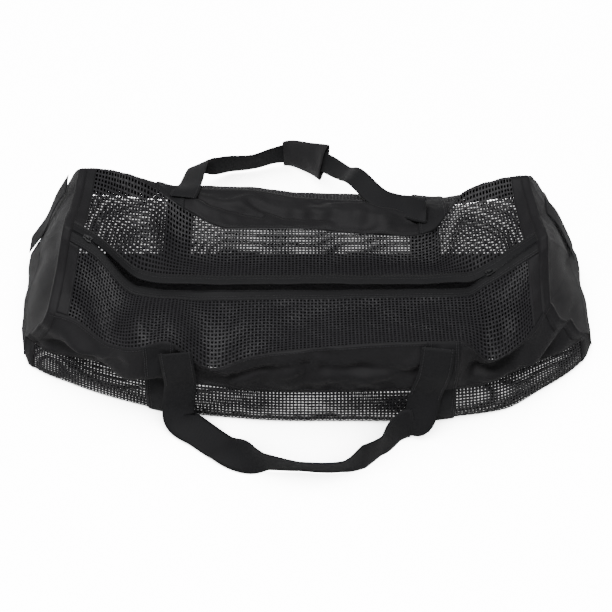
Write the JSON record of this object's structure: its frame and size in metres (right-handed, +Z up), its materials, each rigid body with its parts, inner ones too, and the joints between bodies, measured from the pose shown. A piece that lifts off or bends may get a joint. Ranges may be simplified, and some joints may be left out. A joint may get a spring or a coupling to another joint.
{
  "type": "mesh dive gear bag",
  "caption": "Empty collapsed barrel duffel of open net with nylon bands, bottom and ends, a parted full-length zip, webbing strips and carry handles.",
  "frame": {"origin": "centre of the bounding box at floor level", "axes": "+X along the bag to its right end, +Y to its back, +Z up"},
  "size_m": [0.9354, 0.6966, 0.2137],
  "materials": {
    "nylon": "black coated nylon cloth",
    "net": "black coated polyester net, 6 mm mesh",
    "zip_tape": "black woven zip tape with a moulded coil",
    "slider": "black lacquered die-cast metal",
    "webbing": "black woven polypropylene webbing",
    "grip_wrap": "black padded nylon wrap"
  },
  "bodies": {
    "root": {"bottom_panel": "nylon", "front_lower_mesh": "net", "back_lower_mesh": "net", "front_side_band": "nylon", "back_side_band": "nylon", "front_top_mesh": "net", "back_top_mesh": "net", "left_front_trim": "nylon", "left_back_trim": "nylon", "right_front_trim": "nylon", "right_back_trim": "nylon", "left_end_panel": "nylon", "right_end_panel": "nylon", "zip_tape_front": "zip_tape", "zip_tape_back": "zip_tape", "zip_slider_left": "slider", "zip_slider_right": "slider", "left_strip": "webbing", "right_strip": "webbing", "front_handle": "webbing", "back_handle": "webbing", "handle_grip": "grip_wrap", "left_grab_handle": "webbing", "right_grab_handle": "webbing"}
  },
  "joints": []
}
